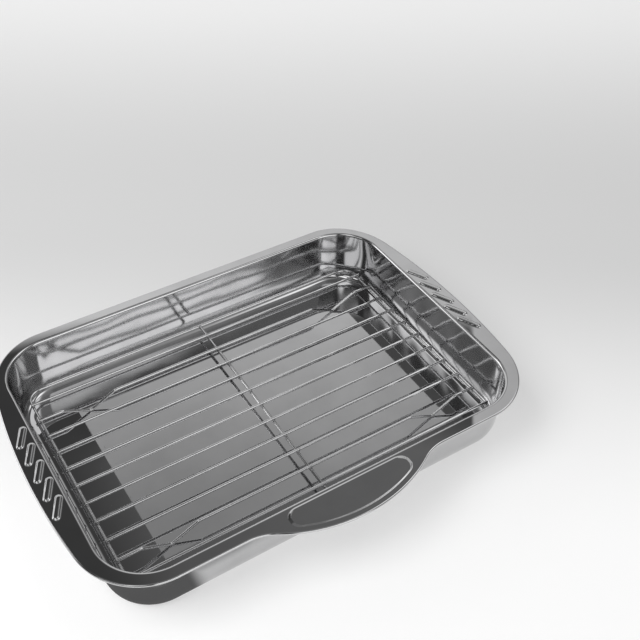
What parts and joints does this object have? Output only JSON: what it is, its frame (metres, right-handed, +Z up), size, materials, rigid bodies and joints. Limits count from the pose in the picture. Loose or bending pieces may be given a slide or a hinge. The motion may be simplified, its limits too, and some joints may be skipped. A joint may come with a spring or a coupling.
{
  "type": "roasting pan with rack",
  "caption": "Rectangular stainless steel roasting pan with ribbed end flanges, a lobed grip on one long side, and a lift-out wire rack standing on V-shaped legs.",
  "frame": {"origin": "middle of the pan's flat underside, on the surface it stands on", "axes": "+X along the long sides, -Y towards the handle lobe, +Z up"},
  "size_m": [0.3608, 0.2718, 0.0482],
  "materials": {
    "polished_sheet": "mirror-polished drawn stainless sheet with a duller underside",
    "bright_wire": "bright polished steel wire with small weld marks"
  },
  "bodies": {
    "pan": {"pan": "polished_sheet"},
    "rack": {"rack_frame": "bright_wire", "rack_centre_wire": "bright_wire", "rack_wire_01": "bright_wire", "rack_wire_02": "bright_wire", "rack_wire_03": "bright_wire", "rack_wire_04": "bright_wire", "rack_wire_05": "bright_wire", "rack_wire_06": "bright_wire", "rack_wire_07": "bright_wire", "rack_wire_08": "bright_wire", "rack_wire_09": "bright_wire", "rack_wire_10": "bright_wire", "rack_wire_11": "bright_wire"}
  },
  "joints": [
    {"name": "rack_lift", "type": "slide", "parent": "pan", "child": "rack", "axis": [0, 0, 1], "range_m": [0, 0.08]}
  ]
}
